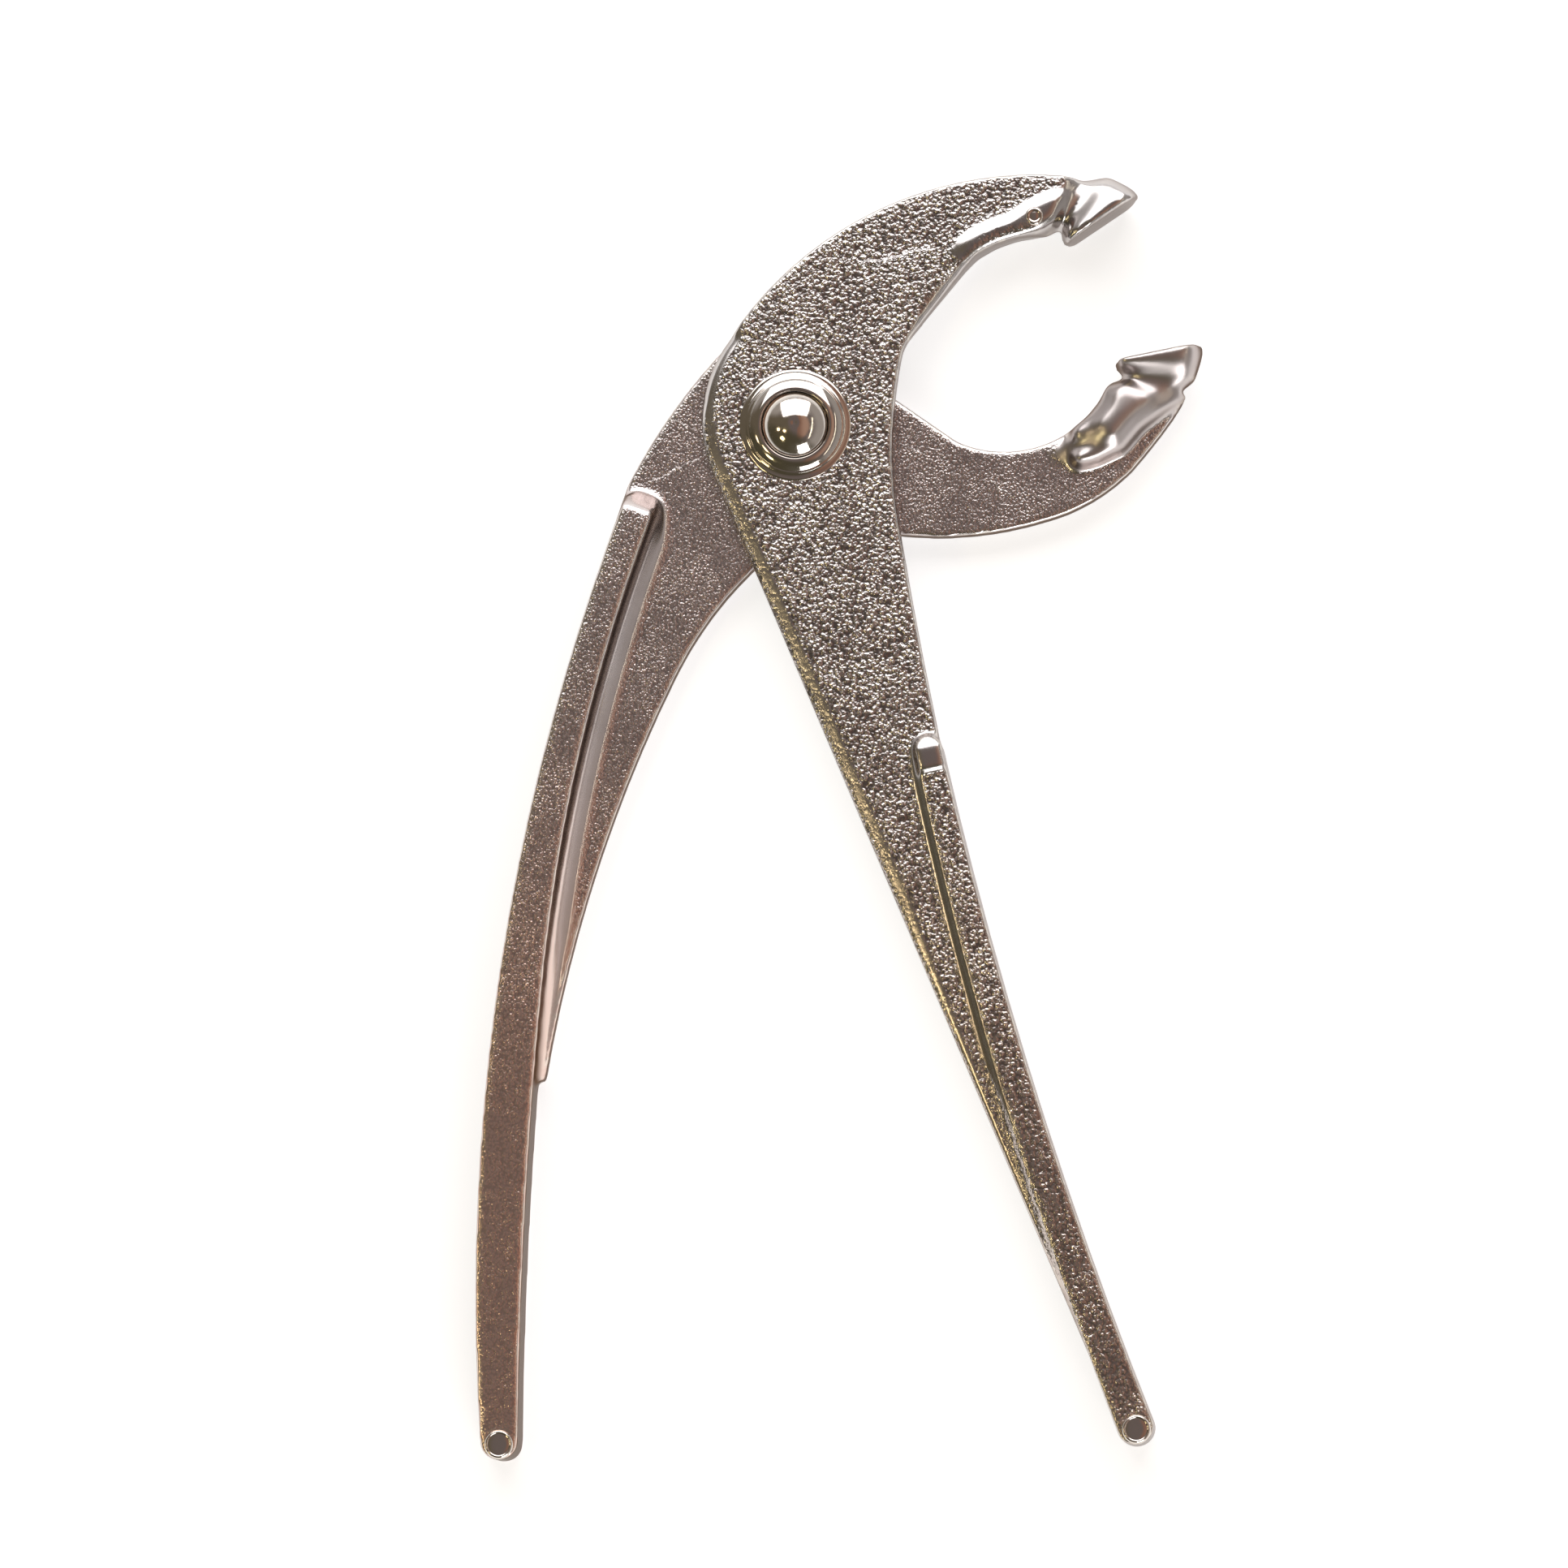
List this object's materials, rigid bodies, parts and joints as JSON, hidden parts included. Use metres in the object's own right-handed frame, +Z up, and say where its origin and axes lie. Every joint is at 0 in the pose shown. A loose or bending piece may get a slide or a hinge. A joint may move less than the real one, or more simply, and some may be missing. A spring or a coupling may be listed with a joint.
{
  "type": "nutcracker",
  "caption": "Pliers nutcracker: two long curved cast levers crossed on a domed rivet, with short hooked jaws that end in flat flared pads.",
  "frame": {"origin": "on the pivot axis, in the plane that the tool lies on", "axes": "+Z up along the pivot axis, out of the rivet's domed head; +X towards the jaws; +Y from the handles towards the head"},
  "size_m": [0.1119, 0.198, 0.0119],
  "materials": {
    "cast_nickel": "nickel-plated casting with a coarse orange-peel grain",
    "cast_nickel_dark": "nickel-plated casting with a fine darker grain",
    "polished_nickel": "polished"
  },
  "bodies": {
    "rear_arm": {"rear_lever": "cast_nickel_dark", "rivet": "polished_nickel"},
    "front_arm": {"front_lever": "cast_nickel"}
  },
  "joints": [
    {"name": "pivot", "type": "hinge", "parent": "rear_arm", "child": "front_arm", "pos_m": [0, 0, 0], "axis": [0, 0, 1], "range_deg": [-22.1, 53]}
  ]
}
